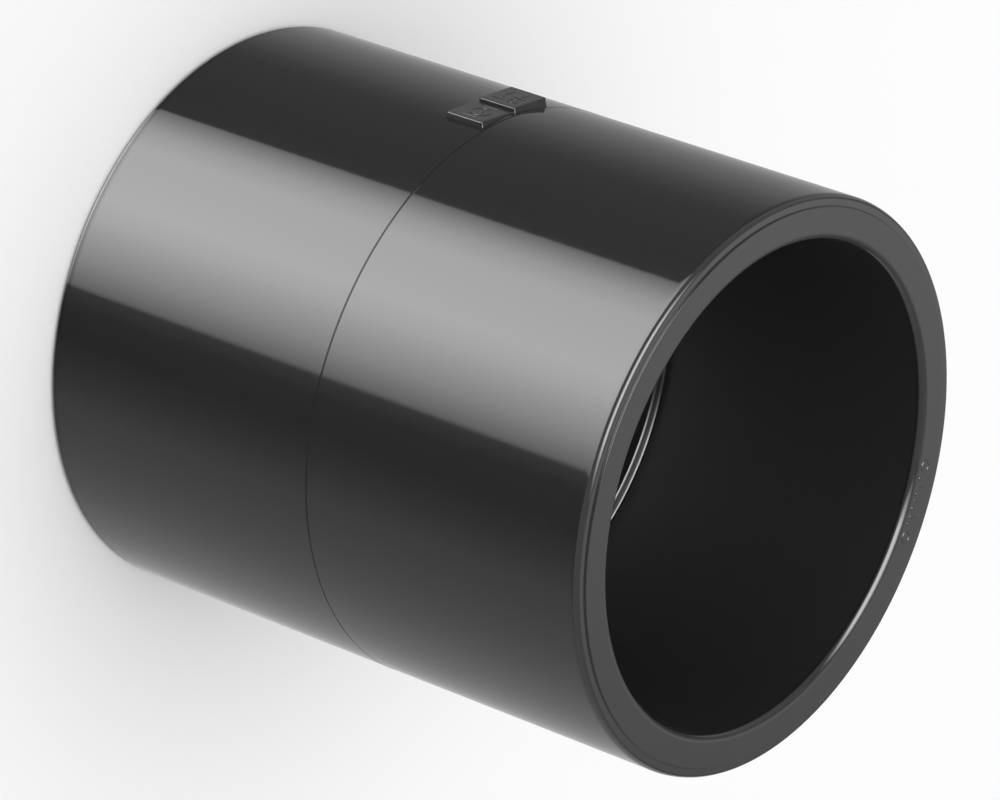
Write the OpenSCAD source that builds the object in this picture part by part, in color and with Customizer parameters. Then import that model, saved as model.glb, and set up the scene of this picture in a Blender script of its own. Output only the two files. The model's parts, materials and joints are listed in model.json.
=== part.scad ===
// Plain pipe coupling with a solvent socket at each end and a stop between them.
// It is one moulding. It stands on an end face, with its axis along Z and its marking pad on the -Y side.

/* [Pipe sockets] */
// Outside diameter of the pipe that goes into the sockets
pipe_d = 40; // [32:1:63]
// Gap for the cement between the pipe and the socket wall
cement_gap = 0.2; // [0.05:0.05:0.3]
// Depth of each socket, from the end face to the stop
socket_depth = 26; // [18:0.5:38]
// Radius that rounds the mouth of each socket
mouth_r = 0.65; // [0.5:0.05:1.6]

/* [Pipe stop] */
// Width of the stop along the axis
stop_w = 3; // [2:0.5:6]
// Height of the stop above the socket wall
stop_h = 1.05; // [0.8:0.05:2]
// Radius that rounds the stop's two edges
stop_edge_r = 0.3; // [0.1:0.05:0.4]
// Radius of the fillet where the stop meets the socket wall
stop_root_r = 0.3; // [0.1:0.05:0.4]

/* [Wall] */
// Thickness of the wall around the sockets
wall = 3.7; // [3.4:0.1:6]
// How far the rounding of each end's outer edge reaches in across the wall
rim_w = 0.35; // [0.2:0.05:0.7]
// How far it reaches along the axis
rim_l = 0.6; // [0.2:0.05:1]

/* [End faces] */
// Width of the outer band of each end face, which lies a step below the land
band_w = 0.9; // [0.8:0.1:1.4]
// Height of the step between the land and the band
band_step = 0.15; // [0.05:0.01:0.3]

/* [Parting line] */
// Width of the raised line that the mould's two halves leave round the middle
seam_w = 0.2; // [0.1:0.05:0.5]
// Height of the raised line
seam_h = 0.05; // [0.02:0.01:0.2]

/* [Marking pad] */
// Width of each of the pad's two fields, across the axis
field_w = 4.05; // [3:0.05:6]
// Length of the two fields along the axis
field_l = 3.65; // [2:0.05:8]
// Height of the low field above the wall, at the middle of the pad
low_rise = 0.12; // [0.02:0.01:0.2]
// Height of the high field above the wall, at the middle of the pad
high_rise = 0.4; // [0.25:0.01:1]
// Slope of the fields' sides, in degrees
pad_draft = 15; // [0:1:20]
// Gap between the pad's foot and the parting line
pad_gap = 0.25; // [0.05:0.05:1]

/* [Hidden] */

// Curves are smooth to these steps
$fa = 3;
$fs = 0.15;
// Overlap that joins or cuts cleanly
lap = 0.05;

socket_r = pipe_d / 2 + cement_gap;
outer_r = socket_r + wall;
stop_r = socket_r - stop_h;
land_r = outer_r - band_w;
length = 2 * socket_depth + stop_w;
middle = length / 2;
pad_z = middle - seam_w / 2 - pad_gap - high_rise * tan(pad_draft) - field_l / 2;

pvc_grey = [0.22, 0.22, 0.23];

// The material between a square corner at the origin and the arc that rounds or fills it
module corner(r) {
    difference() {
        translate([-lap, -lap]) square(r + lap);
        translate([r, r]) circle(r);
    }
}

// Repeats what lies at the lower end at the upper end
module both_ends() {
    children();
    translate([0, length]) mirror([0, 1]) children();
}

// What is taken off a plain wall at its lower end: the step, the outer edge and the mouth
module end_cut() {
    translate([land_r, -lap]) square([band_w + lap, band_step + lap]);
    translate([outer_r, band_step]) mirror([1, 0]) scale([rim_w / rim_l, 1]) corner(rim_l);
    translate([socket_r, 0]) corner(mouth_r);
}

// Half of the stop, up to the middle, with its rounded edge and its root fillet
module stop_half() {
    difference() {
        translate([stop_r, socket_depth]) square([stop_h + lap, stop_w / 2 + lap]);
        translate([stop_r, socket_depth]) corner(stop_edge_r);
    }
    translate([socket_r, socket_depth]) mirror([1, 0]) mirror([0, 1]) corner(stop_root_r);
}

// Raised parting line round the outside
module seam() {
    polygon([
        [outer_r - lap, middle - seam_w / 2],
        [outer_r, middle - seam_w / 2],
        [outer_r + seam_h, middle],
        [outer_r, middle + seam_w / 2],
        [outer_r - lap, middle + seam_w / 2],
    ]);
}

// The wall cut along the axis: radius along X, height along Y
module wall_section() {
    difference() {
        translate([socket_r, 0]) square([wall, length]);
        both_ends() end_cut();
    }
    both_ends() stop_half();
    seam();
}

// A bar with sloping sides, seen from its end: the flat top is at the height given
module sloped_profile(top_w, top, foot) {
    spread = (top - foot) * tan(pad_draft);
    polygon([
        [-top_w / 2, top],
        [top_w / 2, top],
        [top_w / 2 + spread, foot],
        [-top_w / 2 - spread, foot],
    ]);
}

// One flat-topped field of the marking pad. side is 1 for the field towards +X and -1 for the other
module marking_field(side, rise) {
    top = outer_r + rise;
    // The foot lies below the wall's surface at the pad's side edges
    foot = sqrt(pow(outer_r, 2) - pow(field_w + high_rise, 2)) - 2 * lap;
    intersection() {
        translate([side * field_w / 2, 0, pad_z - field_l]) linear_extrude(2 * field_l)
            mirror([0, 1]) sloped_profile(field_w, top, foot);
        translate([-2 * field_w, 0, pad_z]) rotate([0, 90, 0]) linear_extrude(4 * field_w)
            mirror([0, 1]) sloped_profile(field_l, top, foot);
    }
}

// Two flat fields side by side next to the parting line, one a step above the other
module marking_pad() {
    marking_field(1, low_rise);
    marking_field(-1, high_rise);
}

module coupling_body() {
    color(pvc_grey) {
        rotate_extrude() wall_section();
        marking_pad();
    }
}

coupling_body();
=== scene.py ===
"""Dark PVC pipe coupling: one moulding with two sockets, a stop, a parting line and a marking pad.

It stands on one end on a pale floor. Sizes are in millimetres and go into the scene in metres.
The lights, apart from the key light and the world, show only in the coupling's reflections.
"""
import json
import math

import bmesh
import bpy
from mathutils import Matrix, Vector, noise


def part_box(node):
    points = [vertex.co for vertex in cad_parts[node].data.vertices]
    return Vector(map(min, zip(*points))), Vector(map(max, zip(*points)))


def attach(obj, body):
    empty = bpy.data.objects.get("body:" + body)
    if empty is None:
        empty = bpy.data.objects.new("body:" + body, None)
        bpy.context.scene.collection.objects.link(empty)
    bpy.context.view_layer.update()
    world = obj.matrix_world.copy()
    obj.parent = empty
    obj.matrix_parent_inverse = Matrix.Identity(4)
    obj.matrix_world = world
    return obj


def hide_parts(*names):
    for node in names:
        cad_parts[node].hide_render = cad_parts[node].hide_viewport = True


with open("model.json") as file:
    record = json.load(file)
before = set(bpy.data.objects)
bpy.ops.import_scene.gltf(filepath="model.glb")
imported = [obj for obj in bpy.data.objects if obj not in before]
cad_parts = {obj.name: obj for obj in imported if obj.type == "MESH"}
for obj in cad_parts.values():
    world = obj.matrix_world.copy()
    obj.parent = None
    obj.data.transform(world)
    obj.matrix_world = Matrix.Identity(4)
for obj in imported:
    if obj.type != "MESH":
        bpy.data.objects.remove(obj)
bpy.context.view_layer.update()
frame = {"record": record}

MM = 0.001
NODE = "coupling_body"


def mount(name):
    """One of the record's mounts."""
    return next(m for m in frame["record"]["mounts"] if m["name"] == name)


# Driving sizes that the frame holds
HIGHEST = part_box(NODE)[1] / MM
LENGTH = HIGHEST.z
SOCKET_R = mount("upper_socket")["dims"]["r_mm"]

# Stop between the sockets
STOP_W = 3.0
STOP_H = 1.05
STOP_EDGE_R = 0.3
STOP_ROOT_R = 0.3
# How much a socket's radius narrows from the mouth to the stop
TAPER = 0.15

# Mouths, outer edges and end faces
MOUTH_R = 0.65
RIM_W = 0.35
RIM_L = 0.7
BAND_W = 0.9
BAND_STEP = 0.15
STEP_TOP_R = 0.07
STEP_R = 0.04

# Parting line: its full section, and the share of its height that stands, which is uneven as flash is
SEAM_W = 0.2
SEAM_H = 0.05
SEAM_SHARE = 0.5
SEAM_SPREAD = 0.3
SEAM_WAVES = 4

# Marking pad on the -Y side: two fields, one higher than the other
FIELD_W = 4.05
FIELD_L = 3.65
LOW_RISE = 0.12
HIGH_RISE = 0.4
PAD_DRAFT = math.radians(15)
PAD_SIDE_DRAFT = math.radians(1)
PAD_GAP = 0.25
PAD_BEVEL = 0.09
PAD_CORNER_R = 0.16
# How far the pad's foot lies below the wall's surface, and the low field's end inside the high field
FOOT_SINK = 0.1
FIELD_LAP = 1.5

# Small raised marks: on the pad and on the upper end face
PAD_MARK_H = 0.04
FACE_MARK_H = 0.05
MARK_SLOPE = 0.07
MARK_SINK = 0.03
FACE_MARK_AT = 21.45
# The row on the end face: degrees from +X
FACE_ROW = [
    (153.8, "ring"), (156.6, "dot"), (158.4, "bar"), (160.2, "dot"), (162.0, "bar"),
    (163.6, "dot"), (165.2, "bar"), (167.0, "dot"), (169.8, "ring"),
]

OUTER_R = HIGHEST.x - SEAM_H
LAND_R = OUTER_R - BAND_W
STOP_R = SOCKET_R - STOP_H
MIDDLE = LENGTH / 2

# Mesh steps
COLUMNS = 480
ARC_STEPS = 10
SMALL_ARC_STEPS = 5
SMALL_ARC_R = 0.08
BLOCK_STEPS = 4
CIRCLE_STEPS = 24
SMOOTH_ANGLE = math.radians(30)
# A point this far from an arc keeps the flat part beside it flat in shading
SUPPORT = 0.03
PAD_SUPPORT = 0.02

# Finish: the plastic's tones, the roughness of the outside and the fine mottle in both
IOR = 1.5
DARKER = (0.0195, 0.0195, 0.020, 1)
LIGHTER = (0.0235, 0.0235, 0.024, 1)
ROUGH_LEAST = 0.045
ROUGH_MOST = 0.075
MOTTLE_SCALE = 900
MOTTLE_DETAIL = 4
BUMP_STRENGTH = 0.15
BUMP_HEIGHT = 0.00001
# How much rougher than the outside the other faces are
BORE_DULL = 0.25
FACE_DULL = 0.2
BAND_DULL = 0.1
PAD_TOP_DULL = 0.12
PAD_SIDE_DULL = 0.4
# A face of the pad belongs to a top where its normal's Y is less than the first, and to a side where it is
# more than the second
PAD_TOP_TURN = -0.9
PAD_SIDE_TURN = -0.1
# Strength of the mirror-like reflection: everywhere, and on the pad's steep sides and on the parting line,
# where it is turned down to paint their shade
SHINE = 0.5
PAD_SIDE_SHADE_SHINE = 0.08
SEAM_SHADE_SHINE = 0.12

# Camera: where it is from AIM, which it looks at, in angles and millimetres, and its lens
CAMERA_SIDE = math.radians(-26.45)
CAMERA_UP = math.radians(35.23)
CAMERA_AWAY = 514.3
CAMERA_ROLL = math.radians(-109.635)
CAMERA_LENS = 228.83
SENSOR_W = 36
CLIP_START = 0.01
AIM = Vector((0.22, 0.45, 27.64))

# Foot lights, which lie on the floor: their height in metres, their steps round the wall in degrees, their
# steps up the wall, their gap to the lower end face, and how far they go on past the last reflection
FOOT_Z = 0.0001
FOOT_STEP = 0.5
FOOT_ROWS = 8
FOOT_GAP = 0.01
FOOT_REACH = 330
# Shares of the foot lights' strength under the rim and at the wall's foot
UNDER_SHARE = 0.3
FOOT_SHARE = 0.4
# Strength of the foot lights by angle on the wall, in degrees from the camera's side
GLOW = [
    (-90, 0.62), (-80, 0.5), (-64, 0.43), (-58, 0.32), (-52, 0.2), (-36, 0.2), (-31.5, 0.25), (-31, 2.2),
    (-26, 5.8), (-22, 7.6), (-10, 8.8), (-6, 8.1), (2, 4.9), (7, 2.5), (7.9, 2.1), (8.2, 0.4), (12, 0.1),
    (18, 0.05), (24, 0.2), (32, 0.5), (42, 0.6), (56, 0.68), (75, 0.63), (90, 0.66),
]
# Light at the lower end of the bore: its height in metres and its strength
END_Z = 0.0002
END_STRENGTH = 0.9
END_STEPS = 96

# Cards: (place to the side in metres, share of the strength) across, and (direction, strength) along
HIGH_DIRECTION = 126
HIGH_AWAY = 0.68
HIGH_ACROSS = [
    (-0.9, 0), (-0.65, 0.4), (-0.5, 0.9), (-0.42, 1), (0.02, 1), (0.08, 0.64), (0.165, 0.25), (0.22, 0.03),
]
HIGH_SHADES = [(157, 2), (150, 9), (142, 12.5), (113, 12.5), (100, 6), (90, 2), (84, 0.7)]
BACK_DIRECTION = 36
BACK_AWAY = 0.36
BACK_ACROSS = [
    (-0.3, 0.4), (-0.16, 0.45), (-0.1, 0.75), (-0.06, 1.3), (-0.037, 1.25), (0.037, 0.68), (0.1, 0.5),
    (0.16, 0.42), (0.3, 0.4),
]
BACK_SHADES = [(66, 0.8), (52, 1.15), (40, 1.1), (30, 0.85), (20, 0.55), (12, 0.35), (2, 0.25)]

# Floor, world and key light, in metres and watts
FLOOR_HALF = 4
FLOOR_TONE = (0.95, 0.95, 0.95, 1)
WORLD_STRENGTH = 0.7
KEY_SIZE = 1.6
KEY_POWER = 12
KEY_AT = Vector((0.3, -0.2, 1.6))


# The coupling

def rounded(corners):
    """The closed outline through the corners (radius, height, rounding), its square corners rounded by arcs.

    A rounding says how far the arc reaches along the radius and along the height.
    Where there is room, a support point stands before and after each arc.
    """
    count = len(corners)
    spots = [Vector(corner[:2]) for corner in corners]
    sides, reaches, roomy = [], [], []
    for i, here in enumerate(spots):
        both = [spots[i - 1] - here, spots[(i + 1) % count] - here]
        across, along = corners[i][2]
        sides.append([side.normalized() for side in both])
        reaches.append([across if abs(side.x) > abs(side.y) else along for side in both])
    for i in range(count):
        plain = (spots[i] - spots[i - 1]).length - reaches[i][0] - reaches[i - 1][1]
        roomy.append(plain > 3 * SUPPORT)
    points = []
    for i, here in enumerate(spots):
        before, after = sides[i]
        reach, onward = reaches[i]
        if not reach:
            points.append(here)
            continue
        centre = here + before * reach + after * onward
        steps = SMALL_ARC_STEPS if reach < SMALL_ARC_R else ARC_STEPS
        if roomy[i]:
            points.append(here + before * (reach + SUPPORT))
        for k in range(steps + 1):
            angle = math.pi / 2 * k / steps
            points.append(centre - after * (onward * math.cos(angle)) - before * (reach * math.sin(angle)))
        if roomy[(i + 1) % count]:
            points.append(here + after * (onward + SUPPORT))
    return points


def wall_outline():
    """The wall cut along the axis, counter-clockwise."""
    band = LENGTH - BAND_STEP
    stop_top = MIDDLE + STOP_W / 2
    sharp = (0, 0)
    upper = [
        (OUTER_R, band, (RIM_W, RIM_L)),
        (LAND_R, band, (STEP_R, STEP_R)),
        (LAND_R, LENGTH, (STEP_TOP_R, STEP_TOP_R)),
        (SOCKET_R, LENGTH, (MOUTH_R, MOUTH_R)),
        (SOCKET_R - TAPER, stop_top, (STOP_ROOT_R, STOP_ROOT_R)),
        (STOP_R, stop_top, (STOP_EDGE_R, STOP_EDGE_R)),
    ]
    lower = [(x, LENGTH - y, r) for x, y, r in reversed(upper)]
    half = SEAM_W / 2
    seam = [
        (OUTER_R, MIDDLE - half - SUPPORT, sharp),
        (OUTER_R, MIDDLE - half, sharp),
        (OUTER_R + SEAM_H / 2, MIDDLE - half / 2, sharp),
        (OUTER_R + SEAM_H, MIDDLE, sharp),
        (OUTER_R + SEAM_H / 2, MIDDLE + half / 2, sharp),
        (OUTER_R, MIDDLE + half, sharp),
        (OUTER_R, MIDDLE + half + SUPPORT, sharp),
    ]
    return rounded(upper + lower + seam)


def new_object(name, bm):
    mesh = bpy.data.meshes.new(name)
    bm.to_mesh(mesh)
    bm.free()
    obj = bpy.data.objects.new(name, mesh)
    bpy.context.scene.collection.objects.link(obj)
    return obj


def seam_share(angle):
    """Share of the parting line's height that stands at this angle."""
    along = Vector((math.cos(angle), math.sin(angle), 0)) * SEAM_WAVES
    return SEAM_SHARE + SEAM_SPREAD * noise.noise(along)


def turned_wall():
    bm = bmesh.new()
    outline = wall_outline()
    rings = []
    for k in range(COLUMNS):
        angle = 2 * math.pi * k / COLUMNS
        ring = []
        for p in outline:
            radius = p.x
            if radius > OUTER_R:
                radius = OUTER_R + (radius - OUTER_R) * seam_share(angle)
            ring.append(bm.verts.new((radius * math.cos(angle), radius * math.sin(angle), p.y)))
        rings.append(ring)
    for k, ring in enumerate(rings):
        after = rings[(k + 1) % COLUMNS]
        for j in range(len(outline)):
            i = j - 1
            bm.faces.new((ring[i], after[i], after[j], ring[j]))
    bmesh.ops.recalc_face_normals(bm, faces=bm.faces)
    return new_object("coupling", bm)


def join_rings(bm, a, b):
    """Faces between two rings of the same number of points."""
    for i in range(len(a)):
        bm.faces.new((a[i - 1], a[i], b[i], b[i - 1]))


def block_ring(w, l, grow_w, grow_l):
    """A rectangle w by l with rounded corners, grown on its two pairs of sides, as points (x, y)."""
    rx, ry = PAD_CORNER_R + grow_w, PAD_CORNER_R + grow_l
    points = []
    for quarter, (sx, sy) in enumerate([(1, 1), (-1, 1), (-1, -1), (1, -1)]):
        x = sx * (w / 2 - PAD_CORNER_R)
        y = sy * (l / 2 - PAD_CORNER_R)
        for k in range(BLOCK_STEPS + 1):
            angle = math.pi / 2 * (quarter + k / BLOCK_STEPS)
            points.append((x + rx * math.cos(angle), y + ry * math.sin(angle)))
    return points


def block(w, l, deep):
    """A flat-topped block with its top at height 0, rounded top edges, and sides that spread downwards."""
    side, end = math.tan(PAD_SIDE_DRAFT), math.tan(PAD_DRAFT)
    support = PAD_SUPPORT
    levels = [(side * deep, end * deep, -deep), (side * support, end * support, -PAD_BEVEL - support)]
    for k in range(BLOCK_STEPS + 1):
        angle = math.pi / 2 * k / BLOCK_STEPS
        inward = -PAD_BEVEL * (1 - math.cos(angle))
        levels.append((inward, inward, PAD_BEVEL * (math.sin(angle) - 1)))
    levels.append((-PAD_BEVEL - support, -PAD_BEVEL - support, 0))
    bm = bmesh.new()
    rings = []
    for grow_w, grow_l, height in levels:
        rings.append([bm.verts.new((x, y, height)) for x, y in block_ring(w, l, grow_w, grow_l)])
    for a, b in zip(rings, rings[1:]):
        join_rings(bm, a, b)
    bm.faces.new(rings[0])
    bm.faces.new(rings[-1])
    bmesh.ops.recalc_face_normals(bm, faces=bm.faces)
    return bm


def oblong(x, y, w, l):
    return [(x - w / 2, y - l / 2), (x + w / 2, y - l / 2), (x + w / 2, y + l / 2), (x - w / 2, y + l / 2)]


def circle(x, y, r):
    angles = [2 * math.pi * k / CIRCLE_STEPS for k in range(CIRCLE_STEPS)]
    return [(x + r * math.cos(a), y + r * math.sin(a)) for a in angles]


def mark(lower, upper, height):
    """A small raised mark. Its foot has the outlines lower and its top the outlines upper.

    One outline each makes a solid mark, and two each, one inside the other, make a ring.
    """
    bm = bmesh.new()
    foot = [[bm.verts.new((x, y, -MARK_SINK)) for x, y in loop] for loop in lower]
    top = [[bm.verts.new((x, y, height)) for x, y in loop] for loop in upper]
    for a, b in zip(foot, top):
        join_rings(bm, a, b)
    for level in (foot, top):
        if len(level) == 1:
            bm.faces.new(level[0])
        else:
            join_rings(bm, *level)
    bmesh.ops.recalc_face_normals(bm, faces=bm.faces)
    return bm


def dot_mark(x, y, r, height):
    return mark([circle(x, y, r)], [circle(x, y, r - MARK_SLOPE)], height)


def ring_mark(x, y, outer, inner, height):
    lower = [circle(x, y, outer), circle(x, y, inner)]
    upper = [circle(x, y, outer - MARK_SLOPE), circle(x, y, inner + MARK_SLOPE)]
    return mark(lower, upper, height)


def bar_mark(x, y, w, l, height):
    less = 2 * MARK_SLOPE
    return mark([oblong(x, y, w, l)], [oblong(x, y, w - less, l - less)], height)


def union(base, other):
    modifier = base.modifiers.new("join", "BOOLEAN")
    modifier.operation = "UNION"
    modifier.solver = "EXACT"
    modifier.object = other
    graph = bpy.context.evaluated_depsgraph_get()
    mesh = bpy.data.meshes.new_from_object(base.evaluated_get(graph))
    base.modifiers.clear()
    base.data = mesh
    bpy.data.objects.remove(other)


def put_marks(base, marks, place):
    """Joins the marks to the base. place takes a mark, whose height is along Z, to where it stands."""
    for bm in marks:
        bm.transform(place)
        union(base, new_object("mark", bm))


def field_place(side, rise):
    """The middle of a field's top, with its height along -Y. side is 1 towards +X and -1 the other way."""
    pad_z = MIDDLE - SEAM_W / 2 - PAD_GAP - HIGH_RISE * math.tan(PAD_DRAFT) - FIELD_L / 2
    middle = Matrix.Translation((side * FIELD_W / 2, -OUTER_R - rise, pad_z))
    return middle @ Matrix.Rotation(math.radians(90), 4, "X")


def marking_field(rise, place, lap):
    """One field of the pad. Its end towards -X reaches farther by lap."""
    foot = math.sqrt(OUTER_R ** 2 - (FIELD_W + HIGH_RISE) ** 2) - FOOT_SINK
    bm = block(FIELD_W + lap, FIELD_L, OUTER_R + rise - foot)
    bm.transform(place @ Matrix.Translation((-lap / 2, 0, 0)))
    return new_object("field", bm)


def marking_pad():
    low_place = field_place(1, LOW_RISE)
    high_place = field_place(-1, HIGH_RISE)
    pad = marking_field(LOW_RISE, low_place, FIELD_LAP)
    union(pad, marking_field(HIGH_RISE, high_place, 0))
    h = PAD_MARK_H
    put_marks(pad, [
        ring_mark(0, 0.1, 1.0, 0.72, h),
        dot_mark(0, 0.1, 0.32, h),
        bar_mark(1.35, 0.1, 0.28, 1.5, h),
        bar_mark(-1.35, 0.1, 0.28, 1.5, h),
    ], low_place)
    put_marks(pad, [
        ring_mark(0.7, 0.62, 0.56, 0.3, h),
        bar_mark(-0.1, 0.62, 0.26, 1.1, h),
        bar_mark(-0.95, 0.62, 0.9, 0.26, h),
        bar_mark(1.0, -0.75, 0.26, 1.1, h),
        dot_mark(0.35, -0.75, 0.25, h),
        bar_mark(-0.65, -0.75, 1.1, 0.26, h),
    ], high_place)
    return pad


def mark_face(body):
    """Small raised marks in a row on the land of the upper end face."""
    h = FACE_MARK_H
    for degrees, kind in FACE_ROW:
        if kind == "ring":
            bm = ring_mark(0.1, 0, 0.6, 0.34, h)
        elif kind == "dot":
            bm = dot_mark(-0.3, 0, 0.2, h)
        else:
            bm = bar_mark(0.1, 0, 1.0, 0.24, h)
        turn = Matrix.Rotation(math.radians(degrees), 4, "Z")
        put_marks(body, [bm], turn @ Matrix.Translation((FACE_MARK_AT, 0, LENGTH)))


def smooth_shading(obj):
    obj.data.shade_smooth()
    bm = bmesh.new()
    bm.from_mesh(obj.data)
    for edge in bm.edges:
        if len(edge.link_faces) == 2 and edge.calc_face_angle() > SMOOTH_ANGLE:
            edge.smooth = False
    bm.to_mesh(obj.data)
    bm.free()


def attribute_node(nodes, name):
    node = nodes.new("ShaderNodeAttribute")
    node.attribute_name = name
    return node.outputs["Fac"]


def pvc():
    """Dark PVC. Each face's own dull changes its roughness, and its shine changes its reflection, which is
    turned down on the pad's steep sides and on the parting line as painted shade.
    """
    material = bpy.data.materials.new("dark_pvc")
    material.use_nodes = True
    nodes, links = material.node_tree.nodes, material.node_tree.links
    shader = nodes["Principled BSDF"]
    shader.inputs["IOR"].default_value = IOR
    where = nodes.new("ShaderNodeTexCoord")

    mottle = nodes.new("ShaderNodeTexNoise")
    mottle.inputs["Scale"].default_value = MOTTLE_SCALE
    mottle.inputs["Detail"].default_value = MOTTLE_DETAIL
    links.new(where.outputs["Object"], mottle.inputs["Vector"])

    colour = nodes.new("ShaderNodeValToRGB")
    colour.color_ramp.elements[0].color = DARKER
    colour.color_ramp.elements[1].color = LIGHTER
    links.new(mottle.outputs["Fac"], colour.inputs["Fac"])
    links.new(colour.outputs["Color"], shader.inputs["Base Color"])

    rough = nodes.new("ShaderNodeMapRange")
    rough.inputs["To Min"].default_value = ROUGH_LEAST
    rough.inputs["To Max"].default_value = ROUGH_MOST
    links.new(mottle.outputs["Fac"], rough.inputs["Value"])
    total = nodes.new("ShaderNodeMath")
    total.operation = "ADD"
    links.new(rough.outputs["Result"], total.inputs[0])
    links.new(attribute_node(nodes, "dull"), total.inputs[1])
    links.new(total.outputs["Value"], shader.inputs["Roughness"])
    links.new(attribute_node(nodes, "shine_and_shade"), shader.inputs["Specular IOR Level"])

    bump = nodes.new("ShaderNodeBump")
    bump.inputs["Strength"].default_value = BUMP_STRENGTH
    bump.inputs["Distance"].default_value = BUMP_HEIGHT
    links.new(mottle.outputs["Fac"], bump.inputs["Height"])
    links.new(bump.outputs["Normal"], shader.inputs["Normal"])
    return material


def finish_of(centre, normal):
    """How dull and how shiny a face is, from its centre in millimetres and its normal. The pad's steep sides
    and the parting line get a weaker reflection, which paints their shade.
    """
    nudge = SUPPORT / 2
    radius = math.hypot(centre.x, centre.y)
    depth = min(centre.z, LENGTH - centre.z)
    socket_end = MIDDLE - STOP_W / 2 - STOP_ROOT_R - nudge
    if radius < SOCKET_R + nudge and MOUTH_R + nudge < depth < socket_end:
        return BORE_DULL, SHINE
    # The land's finish runs on over the first of the mouth's rounding
    land_end = LAND_R - STEP_TOP_R - nudge
    if SOCKET_R + MOUTH_R / 2 < radius < land_end and depth < MOUTH_R / 8:
        return FACE_DULL, SHINE
    if LAND_R + STEP_R < radius < OUTER_R - RIM_W and depth < BAND_STEP + nudge:
        return BAND_DULL, SHINE
    # Painted shade: the parting line gets a weaker reflection, which makes it a dark line
    if radius > OUTER_R and abs(centre.z - MIDDLE) < SEAM_W / 2:
        return 0, SEAM_SHADE_SHINE
    if radius > OUTER_R + nudge and centre.z < MIDDLE - SEAM_W / 2:
        if normal.y < PAD_TOP_TURN:
            return PAD_TOP_DULL, SHINE
        # Painted shade: the pad's steep sides get a much weaker reflection, which darkens them
        if normal.y > PAD_SIDE_TURN:
            return PAD_SIDE_DULL, PAD_SIDE_SHADE_SHINE
    return 0, SHINE


def mark_finish(obj):
    dull = obj.data.attributes.new("dull", "FLOAT", "FACE")
    # The shine attribute also carries painted shade: a weaker reflection on the pad's steep sides and the
    # parting line
    shine_and_shade = obj.data.attributes.new("shine_and_shade", "FLOAT", "FACE")
    for face, dulling, shining in zip(obj.data.polygons, dull.data, shine_and_shade.data):
        dulling.value, shining.value = finish_of(face.center / MM, face.normal)


def make_coupling():
    body = turned_wall()
    union(body, marking_pad())
    mark_face(body)
    body.data.transform(Matrix.Scale(MM, 4))
    smooth_shading(body)
    mark_finish(body)
    body.data.materials.clear()
    body.data.materials.append(pvc())
    for face in body.data.polygons:
        face.material_index = 0
    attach(body, "root")
    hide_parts(NODE)


# The camera and the way its view bounces off the wall

def place_camera():
    eye = AIM + CAMERA_AWAY * Vector((
        math.cos(CAMERA_SIDE) * math.cos(CAMERA_UP),
        math.sin(CAMERA_SIDE) * math.cos(CAMERA_UP),
        math.sin(CAMERA_UP)))
    forward = (AIM - eye).normalized()
    side = forward.cross(Vector((0, 0, 1))).normalized()
    low = forward.cross(side)
    right = side * math.cos(CAMERA_ROLL) + low * math.sin(CAMERA_ROLL)
    down = low * math.cos(CAMERA_ROLL) - side * math.sin(CAMERA_ROLL)
    data = bpy.data.cameras.new("camera")
    data.lens = CAMERA_LENS
    data.sensor_width = SENSOR_W
    data.clip_start = CLIP_START
    camera = bpy.data.objects.new("camera", data)
    turn = Matrix((right, -down, -forward)).transposed().to_4x4()
    camera.matrix_world = Matrix.Translation(eye * MM) @ turn
    bpy.context.scene.collection.objects.link(camera)
    bpy.context.scene.camera = camera
    return eye


def bounce(eye, angle, height, reach=0):
    """Where the view that meets the wall at this angle and height lands on the floor, or reach beyond it."""
    out = Vector((math.cos(angle), math.sin(angle), 0))
    point = out * OUTER_R + Vector((0, 0, height))
    view = (point - eye).normalized()
    back = view - 2 * view.dot(out) * out
    landing = point + back * (height / -back.z)
    return landing + Vector((back.x, back.y, 0)).normalized() * reach


# Lights that show only in reflections

def glow_at(degrees):
    for (a, low), (b, high) in zip(GLOW, GLOW[1:]):
        if a <= degrees <= b:
            return low + (high - low) * (degrees - a) / (b - a)
    return GLOW[-1][1]


def light_material(name):
    """An emitter, and its Emission node."""
    material = bpy.data.materials.new(name)
    material.use_nodes = True
    nodes, links = material.node_tree.nodes, material.node_tree.links
    nodes.clear()
    light = nodes.new("ShaderNodeEmission")
    out = nodes.new("ShaderNodeOutputMaterial")
    links.new(light.outputs["Emission"], out.inputs["Surface"])
    return material, light


def gloss_only(obj):
    obj.visible_camera = False
    obj.visible_diffuse = False
    obj.visible_shadow = False
    obj.visible_transmission = False
    obj.visible_volume_scatter = False


def light_sheet(name, rows):
    """A sheet of light through rows of (place in metres, strength)."""
    bm = bmesh.new()
    glow = bm.verts.layers.float.new("glow")
    grid = []
    for row in rows:
        line = []
        for place, strength in row:
            vert = bm.verts.new(place)
            vert[glow] = strength
            line.append(vert)
        grid.append(line)
    for a, b in zip(grid, grid[1:]):
        for i in range(len(a) - 1):
            bm.faces.new((a[i], a[i + 1], b[i + 1], b[i]))
    sheet = new_object(name, bm)
    material, light = light_material(name)
    tree = material.node_tree
    tree.links.new(attribute_node(tree.nodes, "glow"), light.inputs["Strength"])
    sheet.data.materials.append(material)
    gloss_only(sheet)


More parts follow.
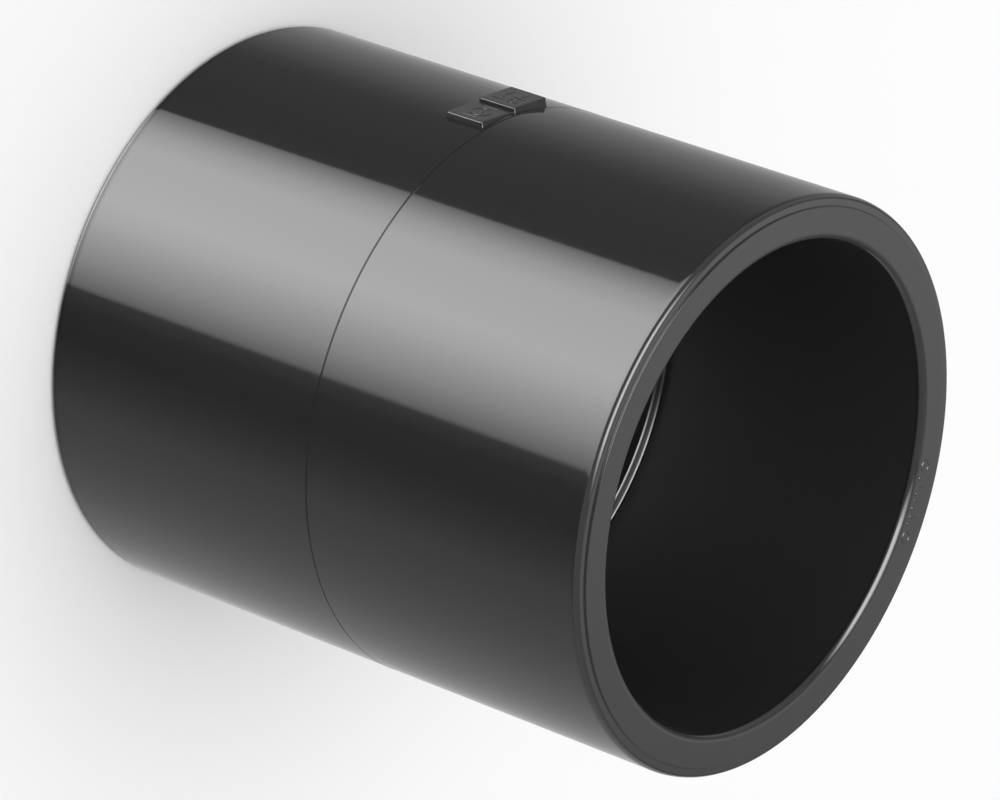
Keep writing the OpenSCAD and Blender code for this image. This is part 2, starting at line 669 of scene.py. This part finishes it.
def foot_lights(eye):
    """Light on the floor where the wall's reflections land, which gives each angle of the wall its tone."""
    heights = [0, BAND_STEP + RIM_L] + [LENGTH * (k + 1) / FOOT_ROWS for k in range(FOOT_ROWS)]
    shares = [UNDER_SHARE, FOOT_SHARE] + [1] * len(heights)
    rows = []
    for k in range(round(180 / FOOT_STEP) + 1):
        degrees = -90 + FOOT_STEP * k
        angle = CAMERA_SIDE + math.radians(degrees)
        under = Vector((math.cos(angle), math.sin(angle), 0)) * (LAND_R + STEP_R + FOOT_GAP)
        spots = [under] + [bounce(eye, angle, height) for height in heights]
        spots.append(bounce(eye, angle, LENGTH, FOOT_REACH))
        row = []
        for spot, share in zip(spots, shares):
            row.append(((spot.x * MM, spot.y * MM, FOOT_Z), glow_at(degrees) * share))
        rows.append(row)
    light_sheet("foot_lights", rows)


def end_glow():
    """Light that reaches the bore through its lower end."""
    bm = bmesh.new()
    bmesh.ops.create_circle(bm, cap_ends=True, segments=END_STEPS, radius=SOCKET_R * MM)
    for vert in bm.verts:
        vert.co.z = END_Z
    disc = new_object("end_glow", bm)
    material, light = light_material("end_glow")
    light.inputs["Strength"].default_value = END_STRENGTH
    disc.data.materials.append(material)
    gloss_only(disc)


def card(name, direction, away, across, shades):
    """A card that faces the coupling's upper end, square to the camera's side.

    Directions are in degrees: 0 is the horizon behind the coupling, 90 is overhead and 180 is the horizon
    on the camera's side. The card's middle lies in direction, away metres off.
    """
    rim = Vector((0, 0, LENGTH * MM))
    turn = Matrix.Rotation(CAMERA_SIDE, 4, "Z") @ Matrix.Rotation(math.radians(direction - 180), 4, "Y")
    rows = []
    for degrees, strength in shades:
        rise = away * math.tan(math.radians(direction - degrees))
        row = [(rim + turn @ Vector((away, place, rise)), strength * share) for place, share in across]
        rows.append(row)
    light_sheet(name, rows)


# The room

def floor():
    bm = bmesh.new()
    bmesh.ops.create_grid(bm, x_segments=1, y_segments=1, size=FLOOR_HALF)
    ground = new_object("floor", bm)
    material = bpy.data.materials.new("pale_floor")
    material.use_nodes = True
    shader = material.node_tree.nodes["Principled BSDF"]
    shader.inputs["Base Color"].default_value = FLOOR_TONE
    shader.inputs["Roughness"].default_value = 1
    shader.inputs["Specular IOR Level"].default_value = 0
    ground.data.materials.append(material)


def soft_light():
    world = bpy.data.worlds.new("studio")
    bpy.context.scene.world = world
    world.use_nodes = True
    background = world.node_tree.nodes["Background"]
    background.inputs["Color"].default_value = (1, 1, 1, 1)
    background.inputs["Strength"].default_value = WORLD_STRENGTH

    data = bpy.data.lights.new("key", "AREA")
    data.shape = "DISK"
    data.size = KEY_SIZE
    data.energy = KEY_POWER
    data.color = (1, 1, 1)
    key = bpy.data.objects.new("key", data)
    key.location = KEY_AT
    key.rotation_euler = (-KEY_AT).to_track_quat("-Z", "Y").to_euler()
    key.visible_glossy = False
    bpy.context.scene.collection.objects.link(key)


eye = place_camera()
make_coupling()
floor()
foot_lights(eye)
end_glow()
card("high_card", HIGH_DIRECTION, HIGH_AWAY, HIGH_ACROSS, HIGH_SHADES)
card("back_card", BACK_DIRECTION, BACK_AWAY, BACK_ACROSS, BACK_SHADES)
soft_light()
bpy.context.scene.view_settings.view_transform = "Standard"
